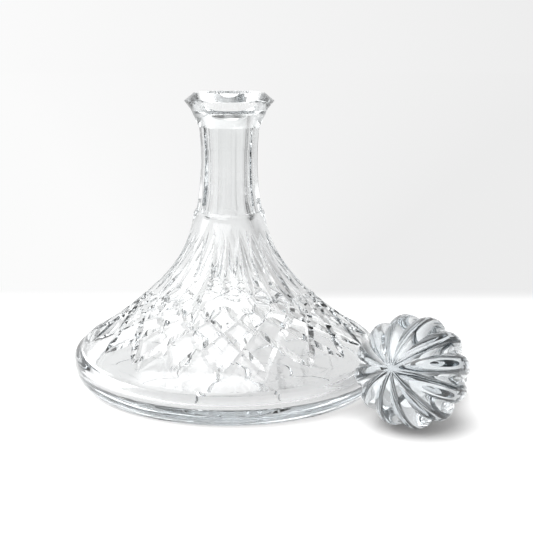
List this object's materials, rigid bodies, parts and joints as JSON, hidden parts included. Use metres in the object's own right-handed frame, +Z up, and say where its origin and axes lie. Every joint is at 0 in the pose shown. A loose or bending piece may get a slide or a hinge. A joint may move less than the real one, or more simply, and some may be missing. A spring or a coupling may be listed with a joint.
{
  "type": "wine decanter",
  "caption": "Wide flat-bottomed cut-glass decanter with a flared lip, faceted neck and diamond-cut shoulder, with its fluted ball stopper lying beside it.",
  "frame": {"origin": "centre of the decanter's flat foot, on the surface it stands on", "axes": "+Z up along the neck's bore; -Y is the front that the picture shows, +X the side where the stopper lies"},
  "size_m": [0.2423, 0.2152, 0.179],
  "materials": {
    "crystal": "clear polished cut lead crystal, ground matt inside the neck's seat",
    "stopper_crystal": "clear polished cut lead crystal, with a ground matt peg"
  },
  "bodies": {
    "decanter": {"decanter": "crystal"},
    "stopper": {"stopper": "stopper_crystal"}
  },
  "joints": [
    {"name": "stopper_lift", "type": "slide", "parent": "decanter", "child": "stopper", "axis": [0, 0, 1], "range_m": [0, 0.15]}
  ]
}
